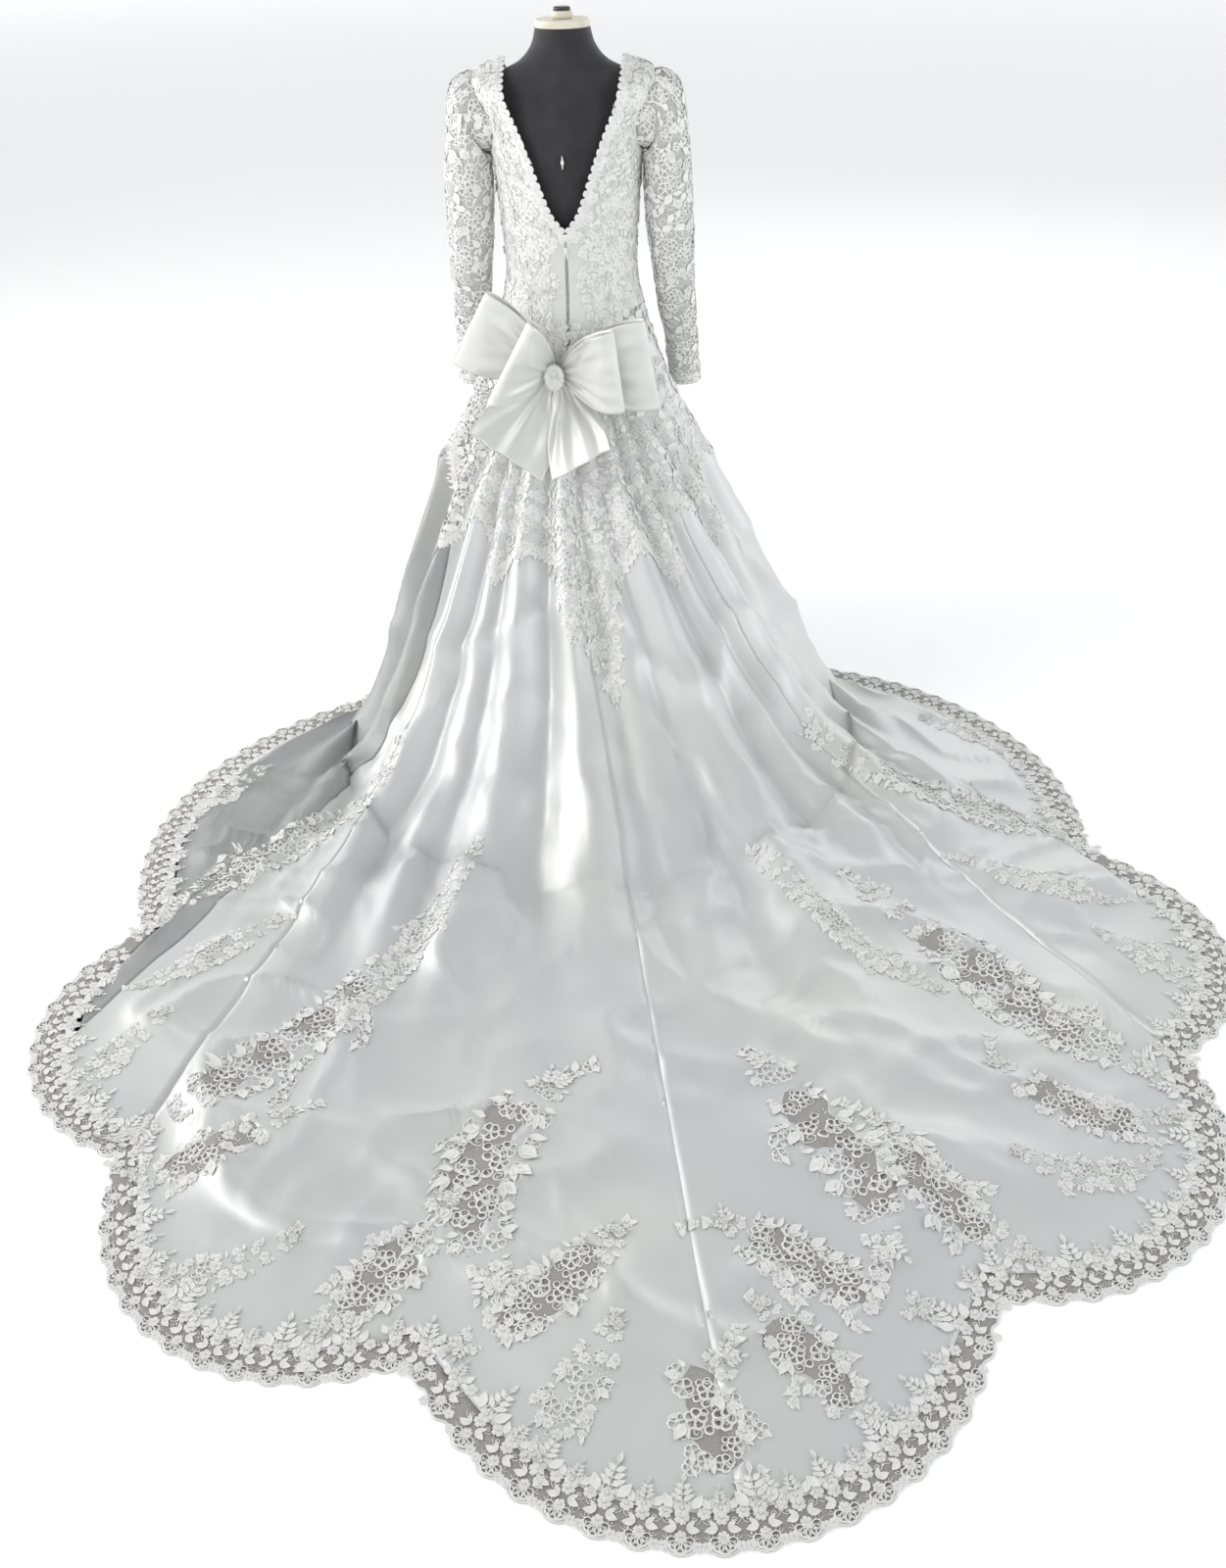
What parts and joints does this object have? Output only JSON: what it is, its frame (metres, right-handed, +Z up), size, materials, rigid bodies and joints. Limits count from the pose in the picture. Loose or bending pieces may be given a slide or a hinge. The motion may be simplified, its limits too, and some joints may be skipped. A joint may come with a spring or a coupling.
{
  "type": "wedding dress with dress form",
  "caption": "Long-sleeved lace and satin wedding dress with a low V back, back zip, bow and lobed cathedral train, standing on a dress form.",
  "frame": {"origin": "centre of the underside of the dress form's base, on the floor", "axes": "+Z up, the back of the dress faces -Y and the train runs out that way, swung a little toward +X"},
  "size_m": [2.1781, 2.6134, 1.5399],
  "materials": {
    "bodice_back_left": "corded and beaded lace",
    "bodice_back_right": "corded and beaded lace",
    "bodice_front": "corded and beaded lace",
    "bodice_side_back_left": "corded and beaded lace",
    "bodice_side_back_right": "corded and beaded lace",
    "bodice_side_front_left": "corded and beaded lace",
    "bodice_side_front_right": "corded and beaded lace",
    "bow_knot": "soft satin",
    "bow_loop_left_front": "soft satin",
    "bow_loop_left_rear": "soft satin",
    "bow_loop_right_front": "soft satin",
    "bow_loop_right_rear": "soft satin",
    "bow_tail_left": "soft satin",
    "bow_tail_right": "soft satin",
    "form_back_dial": "gloss enamel",
    "form_base": "satin",
    "form_knob": "gloss",
    "form_knob_top": "gloss",
    "form_neck_cap": "gloss",
    "form_pole": "satin",
    "form_torso": "matt jersey",
    "hem_lace_centre": "corded and beaded lace",
    "hem_lace_left_1": "corded and beaded lace",
    "hem_lace_left_2": "corded and beaded lace",
    "hem_lace_left_3": "corded and beaded lace",
    "hem_lace_right_1": "corded and beaded lace",
    "hem_lace_right_2": "corded and beaded lace",
    "hem_lace_right_3": "corded and beaded lace",
    "lace_motif_centre": "corded and beaded lace",
    "lace_motif_inner_left": "corded and beaded lace",
    "lace_motif_inner_right": "corded and beaded lace",
    "lace_motif_low_left": "corded and beaded lace",
    "lace_motif_low_right": "corded and beaded lace",
    "lace_motif_outer_left": "corded and beaded lace",
    "lace_motif_outer_right": "corded and beaded lace",
    "lace_motif_third_left": "corded and beaded lace",
    "lace_motif_third_right": "corded and beaded lace",
    "skirt_front": "soft satin",
    "skirt_side_left": "soft satin",
    "skirt_side_right": "soft satin",
    "sleeve_left": "sheer net with corded lace",
    "sleeve_right": "sheer net with corded lace",
    "train_left": "soft satin",
    "train_right": "soft satin",
    "zip_coil": "matt nylon coil",
    "zip_slider": "gloss enamel",
    "zip_tab": "gloss enamel"
  },
  "bodies": {
    "gown_and_form": {"bodice_back_left": "bodice_back_left", "bodice_back_right": "bodice_back_right", "bodice_front": "bodice_front", "bodice_side_back_left": "bodice_side_back_left", "bodice_side_back_right": "bodice_side_back_right", "bodice_side_front_left": "bodice_side_front_left", "bodice_side_front_right": "bodice_side_front_right", "bow_knot": "bow_knot", "bow_loop_left_front": "bow_loop_left_front", "bow_loop_left_rear": "bow_loop_left_rear", "bow_loop_right_front": "bow_loop_right_front", "bow_loop_right_rear": "bow_loop_right_rear", "bow_tail_left": "bow_tail_left", "bow_tail_right": "bow_tail_right", "form_back_dial": "form_back_dial", "form_base": "form_base", "form_knob": "form_knob", "form_knob_top": "form_knob_top", "form_neck_cap": "form_neck_cap", "form_pole": "form_pole", "form_torso": "form_torso", "hem_lace_centre": "hem_lace_centre", "hem_lace_left_1": "hem_lace_left_1", "hem_lace_left_2": "hem_lace_left_2", "hem_lace_left_3": "hem_lace_left_3", "hem_lace_right_1": "hem_lace_right_1", "hem_lace_right_2": "hem_lace_right_2", "hem_lace_right_3": "hem_lace_right_3", "lace_motif_centre": "lace_motif_centre", "lace_motif_inner_left": "lace_motif_inner_left", "lace_motif_inner_right": "lace_motif_inner_right", "lace_motif_low_left": "lace_motif_low_left", "lace_motif_low_right": "lace_motif_low_right", "lace_motif_outer_left": "lace_motif_outer_left", "lace_motif_outer_right": "lace_motif_outer_right", "lace_motif_third_left": "lace_motif_third_left", "lace_motif_third_right": "lace_motif_third_right", "skirt_front": "skirt_front", "skirt_side_left": "skirt_side_left", "skirt_side_right": "skirt_side_right", "sleeve_left": "sleeve_left", "sleeve_right": "sleeve_right", "train_left": "train_left", "train_right": "train_right", "zip_coil": "zip_coil", "zip_slider": "zip_slider"},
    "pull_tab": {"zip_tab": "zip_tab"}
  },
  "joints": [
    {"name": "zip_tab_turn", "type": "hinge", "parent": "gown_and_form", "child": "pull_tab", "pos_m": [0, -0.101, 1.0845], "axis": [-1, 0, 0], "range_deg": [0, 140]}
  ]
}
